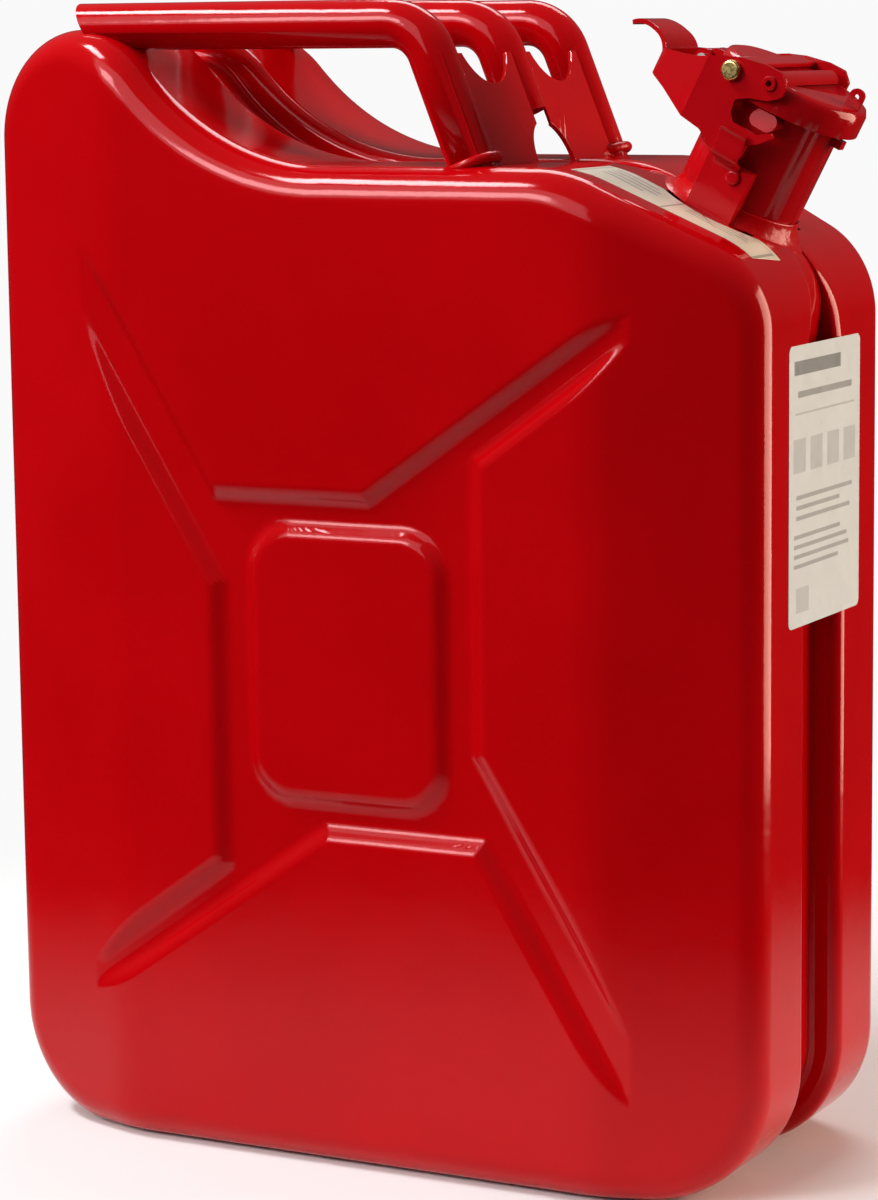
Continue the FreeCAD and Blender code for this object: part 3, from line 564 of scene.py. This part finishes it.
# ---------------------------------------------------------------- label film with plain bars for its print
def printed_label(name, paper, rows, across_axis, up_axis, across, up):
    """Off-white film with bars for print.

    rows are bars as (low across, high across, low up, high up, darkness), each from 0 to 1.
    """
    material, tree, shader = new_material(name)
    places = node(tree, "ShaderNodeTexCoord")
    parts = node(tree, "ShaderNodeSeparateXYZ")
    tree.links.new(places.outputs["Object"], parts.inputs["Vector"])
    side = spread(tree, parts.outputs[across_axis], across[0], across[1], 0.0, 1.0)
    tall = spread(tree, parts.outputs[up_axis], up[0], up[1], 0.0, 1.0)

    def within(value, low, high):
        above = node(tree, "ShaderNodeMath", operation="GREATER_THAN")
        below = node(tree, "ShaderNodeMath", operation="LESS_THAN")
        above.inputs[1].default_value = low
        below.inputs[1].default_value = high
        both = node(tree, "ShaderNodeMath", operation="MULTIPLY")
        tree.links.new(value, above.inputs[0])
        tree.links.new(value, below.inputs[0])
        tree.links.new(above.outputs[0], both.inputs[0])
        tree.links.new(below.outputs[0], both.inputs[1])
        return both.outputs[0]

    total = None
    for left, right, low, high, dark in rows:
        bar = node(tree, "ShaderNodeMath", operation="MULTIPLY")
        tree.links.new(within(side, left, right), bar.inputs[0])
        tree.links.new(within(tall, low, high), bar.inputs[1])
        scaled = node(tree, "ShaderNodeMath", operation="MULTIPLY")
        scaled.inputs[1].default_value = dark
        tree.links.new(bar.outputs[0], scaled.inputs[0])
        if total is None:
            total = scaled.outputs[0]
            continue
        joined = node(tree, "ShaderNodeMath", operation="MAXIMUM")
        tree.links.new(total, joined.inputs[0])
        tree.links.new(scaled.outputs[0], joined.inputs[1])
        total = joined.outputs[0]
    low_paper = tuple(channel * 0.93 for channel in paper)
    ground = ramp(tree, noise(tree, 40.0, 4.0), 0.3, 0.7, (*low_paper, 1), (*paper, 1))
    mix = node(tree, "ShaderNodeMix", data_type="RGBA")
    tree.links.new(total, mix.inputs["Factor"])
    tree.links.new(ground, mix.inputs["A"])
    mix.inputs["B"].default_value = (0.05, 0.05, 0.055, 1)
    tree.links.new(mix.outputs["Result"], shader.inputs["Base Color"])
    rough = spread(tree, noise(tree, 300.0, 3.0), 0.3, 0.7, 0.3, 0.42)
    tree.links.new(rough, shader.inputs["Roughness"])
    bumps(tree, shader, [(noise(tree, 60.0, 2.0), 0.0004, 0.3), (noise(tree, 900.0, 2.0), 0.00002, 0.4)])
    return material


def text_rows(left, right, top, bottom, count, dark, fill):
    """Bars of uneven length standing for lines of small print."""
    chance = np.random.default_rng(SEED + count)
    pitch = (top - bottom) / count
    rows = []
    for k in range(count):
        high = top - pitch * k
        length = (right - left) * chance.uniform(0.7, 1.0)
        rows.append((left, left + length, high - pitch * fill, high, dark))
    return rows


SIDE_ROWS = (
    [(0.07, 0.72, 0.895, 0.945, 0.75)]
    + [(0.12, 0.88, 0.815, 0.838, 0.6)]
    + text_rows(0.1, 0.9, 0.47, 0.36, 3, 0.5, 0.42)
    + text_rows(0.07, 0.95, 0.33, 0.19, 4, 0.5, 0.42)
    + [(0.1, 0.28, 0.05, 0.14, 0.25), (0.08, 0.92, 0.755, 0.762, 0.35)]
)
EMBLEM_START = 0.06
EMBLEM_SPACING = 0.235
EMBLEM_WIDTH = 0.17
for index in range(4):
    left = EMBLEM_START + EMBLEM_SPACING * index
    SIDE_ROWS = SIDE_ROWS + [(left, left + EMBLEM_WIDTH, 0.55, 0.67, 0.28)]

TOP_ROWS = (
    text_rows(0.08, 0.42, 0.82, 0.34, 4, 0.5, 0.4)
    + text_rows(0.54, 0.93, 0.84, 0.5, 4, 0.5, 0.4)
    + [(0.475, 0.487, 0.2, 0.93, 0.6), (0.02, 0.98, 0.915, 0.93, 0.5)]
    + [(0.02, 0.032, 0.0, 0.93, 0.5), (0.965, 0.977, 0.3, 0.93, 0.5)]
)


def label_finishes():
    low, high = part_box("side_label")
    side = printed_label(
        "side_label_film", (0.58, 0.63, 0.66), SIDE_ROWS, "Y", "Z", (low[1], high[1]), (low[2], high[2])
    )
    low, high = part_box("top_label")
    top = printed_label(
        "top_label_film", (0.66, 0.58, 0.46), TOP_ROWS, "X", "Y", (low[0], high[0]), (low[1], high[1])
    )
    return {"side_label": side, "top_label": top}


FINISHES.update(label_finishes())

# ---------------------------------------------------------------- carried-over CAD nodes
EDGES = {
    "lever": 0.0005,
    "hinge_bracket": 0.0005,
    "handle_web_plate": 0.0008,
    "lever_cross_plate": 0.0003,
    "cap_hinge_arm": 0.0003,
}
SMOOTH_ANGLE = math.radians(38)
MERGE_GAP = 0.000002
for name, piece in NODES.items():
    set_material(piece, FINISHES.get(name, CLOSURE_PAINT))
    weld = piece.modifiers.new("weld", "WELD")
    weld.merge_threshold = MERGE_GAP
    if name in EDGES:
        bevel = piece.modifiers.new("bevel", "BEVEL")
        bevel.width = EDGES[name]
        bevel.segments = 2
        bevel.limit_method = "ANGLE"
        bevel.angle_limit = SMOOTH_ANGLE

# ---------------------------------------------------------------- the two shells
SHELL_STEP = 0.0021
SHELL_RADIAL = 96
LINER_STEP = 0.008
LINER_RADIAL = 20
LINER_INSET = 0.0065
for name, rear in (("front_shell", False), ("rear_shell", True)):
    skin = shell_mesh(name + "_skin", SHELL_STEP, SHELL_RADIAL, rear)
    set_material(skin, BODY_PAINT)
    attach(skin, "can")
    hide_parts(name)
    liner = shell_mesh(name + "_liner", LINER_STEP, LINER_RADIAL, rear, LINER_INSET)
    set_material(liner, BREATHER)
    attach(liner, "can")

# ---------------------------------------------------------------- floor, light and camera
FLOOR_SIZE = 4.0
FLOOR_GAP = 0.0002
FLOOR_FADE_START = 0.22
FLOOR_FADE_END = 0.62
floor_mesh = bpy.data.meshes.new("floor")
corner = FLOOR_SIZE / 2
floor_corners = [(-corner, -corner, 0), (corner, -corner, 0), (corner, corner, 0), (-corner, corner, 0)]
floor_mesh.from_pydata(floor_corners, [], [(0, 1, 2, 3)])
floor = bpy.data.objects.new("floor", floor_mesh)
bpy.context.scene.collection.objects.link(floor)
floor.location.z = cad_box[0][2] - FLOOR_GAP


def floor_paper():
    """Pale paper that fades out away from the can, so that it has no visible far edge."""
    material, tree, shader = new_material("pale_floor")
    pale = ramp(tree, noise(tree, 3.0, 3.0), 0.3, 0.7, (0.82, 0.82, 0.82, 1), (0.86, 0.86, 0.86, 1))
    tree.links.new(pale, shader.inputs["Base Color"])
    shader.inputs["Roughness"].default_value = 0.8
    places = node(tree, "ShaderNodeTexCoord")
    away = node(tree, "ShaderNodeVectorMath", operation="LENGTH")
    tree.links.new(places.outputs["Object"], away.inputs[0])
    fade = node(tree, "ShaderNodeMapRange", interpolation_type="SMOOTHSTEP")
    fade.inputs["From Min"].default_value = FLOOR_FADE_START
    fade.inputs["From Max"].default_value = FLOOR_FADE_END
    tree.links.new(away.outputs["Value"], fade.inputs["Value"])
    clear = node(tree, "ShaderNodeBsdfTransparent")
    mix = node(tree, "ShaderNodeMixShader")
    tree.links.new(fade.outputs["Result"], mix.inputs["Fac"])
    tree.links.new(shader.outputs["BSDF"], mix.inputs[1])
    tree.links.new(clear.outputs["BSDF"], mix.inputs[2])
    tree.links.new(mix.outputs["Shader"], tree.nodes["Material Output"].inputs["Surface"])
    return material


set_material(floor, floor_paper())


def area_light(name, place, aim, width, length, power, colour=(1, 1, 1)):
    data = bpy.data.lights.new(name, "AREA")
    data.shape = "RECTANGLE"
    data.size, data.size_y = width, length
    data.energy = power
    data.color = colour
    light = bpy.data.objects.new(name, data)
    light.location = place
    light.rotation_euler = (Vector(aim) - Vector(place)).to_track_quat("-Z", "Y").to_euler()
    bpy.context.scene.collection.objects.link(light)
    return light


area_light("high_softbox", (-0.95, -0.65, 1.95), (0, 0, 0.3), 0.8, 0.3, 30)
area_light("key_softbox", (-1.05, -2.1, 1.5), (0, 0, 0.3), 0.75, 0.6, 24)
area_light("wide_softbox", (-0.9, -2.6, 1.9), (0, 0, 0.2), 2.4, 2.0, 44)
area_light("warm_panel", (1.9, 1.2, 0.5), (0, 0, 0.25), 1.4, 1.6, 66, (1.0, 0.80, 0.62))
area_light("back_softbox", (-0.3, 1.2, 1.8), (0, 0, 0.3), 1.2, 0.6, 14)

world = bpy.data.worlds.new("studio")
bpy.context.scene.world = world
world.use_nodes = True
sky = world.node_tree
sky.nodes.clear()
seen = node(sky, "ShaderNodeBackground", in_Color=(0.95, 0.95, 0.95, 1), in_Strength=1.0)
lit = node(sky, "ShaderNodeBackground", in_Strength=0.28)
directions = node(sky, "ShaderNodeTexCoord")
split = node(sky, "ShaderNodeSeparateXYZ")
sky.links.new(directions.outputs["Generated"], split.inputs["Vector"])
sky_level = spread(sky, split.outputs["Z"], -0.2, 1.0, 0.0, 1.0)
sky_colour = ramp(sky, sky_level, 0.15, 0.9, (0.10, 0.10, 0.10, 1), (0.85, 0.85, 0.85, 1))
sky.links.new(sky_colour, lit.inputs["Color"])
path = node(sky, "ShaderNodeLightPath")
choice = node(sky, "ShaderNodeMixShader")
sky.links.new(path.outputs["Is Camera Ray"], choice.inputs["Fac"])
sky.links.new(lit.outputs["Background"], choice.inputs[1])
sky.links.new(seen.outputs["Background"], choice.inputs[2])
output = node(sky, "ShaderNodeOutputWorld")
sky.links.new(choice.outputs["Shader"], output.inputs["Surface"])

CAMERA_PLACE = Vector((0.70676, -1.33809, 0.45764))
CAMERA_AZIMUTH = math.radians(27.342)
CAMERA_DOWN = math.radians(8.837)
CAMERA_ROLL = math.radians(-0.588)
forward = Vector(
    (
        -math.sin(CAMERA_AZIMUTH) * math.cos(CAMERA_DOWN),
        math.cos(CAMERA_AZIMUTH) * math.cos(CAMERA_DOWN),
        -math.sin(CAMERA_DOWN),
    )
)
level = Vector((math.cos(CAMERA_AZIMUTH), math.sin(CAMERA_AZIMUTH), 0))
upright = level.cross(forward)
right = level * math.cos(CAMERA_ROLL) + upright * math.sin(CAMERA_ROLL)
up = upright * math.cos(CAMERA_ROLL) - level * math.sin(CAMERA_ROLL)
camera_data = bpy.data.cameras.new("camera")
camera_data.sensor_width = 36
camera_data.lens = 110.04
camera_data.shift_x = -0.0258
camera_data.shift_y = 0.0015
camera_data.clip_start, camera_data.clip_end = 0.05, 80
camera = bpy.data.objects.new("camera", camera_data)
turned = Matrix((right, up, -forward)).transposed().to_4x4()
camera.matrix_world = Matrix.Translation(CAMERA_PLACE) @ turned
bpy.context.scene.collection.objects.link(camera)
bpy.context.scene.camera = camera
bpy.context.scene.view_settings.view_transform = "Standard"
